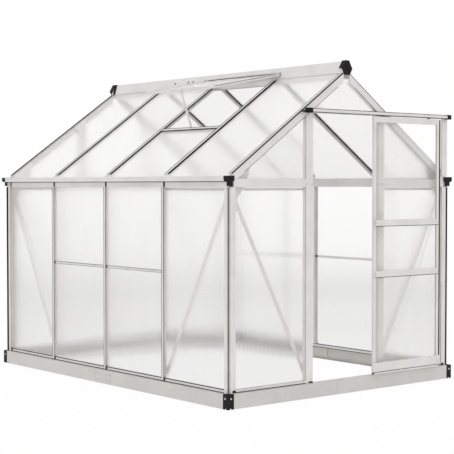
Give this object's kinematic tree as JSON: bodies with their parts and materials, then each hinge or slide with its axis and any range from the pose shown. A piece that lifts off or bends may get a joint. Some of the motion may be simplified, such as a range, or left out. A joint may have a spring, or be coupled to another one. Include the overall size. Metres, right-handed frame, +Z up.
{
  "type": "greenhouse",
  "caption": "Kit greenhouse with an aluminium glazing-bar frame, twin-wall polycarbonate panels, a steel base frame, a roof vent propped open and a sliding door on an outside rail",
  "frame": {"origin": "middle of the overall footprint, on the ground under the base rails", "axes": "+X to the right across the door gable, +Y from the door gable to the rear gable along the ridge, +Z up"},
  "size_m": [1.934, 2.546, 2.025],
  "materials": {
    "aluminium_frame": "satin mill finish",
    "base_steel": "galvanised sheet",
    "polycarbonate": "clear twin-wall sheet with vertical flutes",
    "black_plastic": "moulded, matt"
  },
  "bodies": {
    "greenhouse": {"base_front_rail": "base_steel", "base_rear_rail": "base_steel", "base_left_rails": "base_steel", "base_right_rails": "base_steel", "base_splice_plates": "base_steel", "base_corner_brackets": "black_plastic", "side_sills": "aluminium_frame", "gable_sills": "aluminium_frame", "corner_posts": "aluminium_frame", "wall_studs": "aluminium_frame", "door_posts": "aluminium_frame", "rear_posts": "aluminium_frame", "left_eave_gutter": "aluminium_frame", "right_eave_gutter": "aluminium_frame", "gutter_end_caps": "black_plastic", "ridge_beam": "aluminium_frame", "ridge_end_caps": "black_plastic", "gable_rafters": "aluminium_frame", "roof_bars": "aluminium_frame", "gable_ties": "aluminium_frame", "door_header": "aluminium_frame", "wall_mid_rails": "aluminium_frame", "wall_straps": "aluminium_frame", "gable_straps": "aluminium_frame", "side_braces": "aluminium_frame", "gable_braces": "aluminium_frame", "eave_gussets": "aluminium_frame", "post_gussets": "aluminium_frame", "left_wall_panels": "polycarbonate", "right_wall_panels": "polycarbonate", "front_gable_panels": "polycarbonate", "rear_gable_panels": "polycarbonate", "left_roof_panels": "polycarbonate", "right_roof_panels": "polycarbonate", "vent_frame": "aluminium_frame", "vent_pane": "polycarbonate", "vent_crossbar": "aluminium_frame", "vent_stay": "aluminium_frame", "door_rail": "aluminium_frame", "door_rail_support": "aluminium_frame", "door_rail_caps": "black_plastic"},
    "door": {"door_stiles": "aluminium_frame", "door_cross_rails": "aluminium_frame", "door_panes": "polycarbonate", "door_hangers": "black_plastic", "door_guides": "black_plastic"}
  },
  "joints": [
    {"name": "door_slide", "type": "slide", "parent": "greenhouse", "child": "door", "axis": [-1, 0, 0], "range_m": [0, 0.505]}
  ]
}
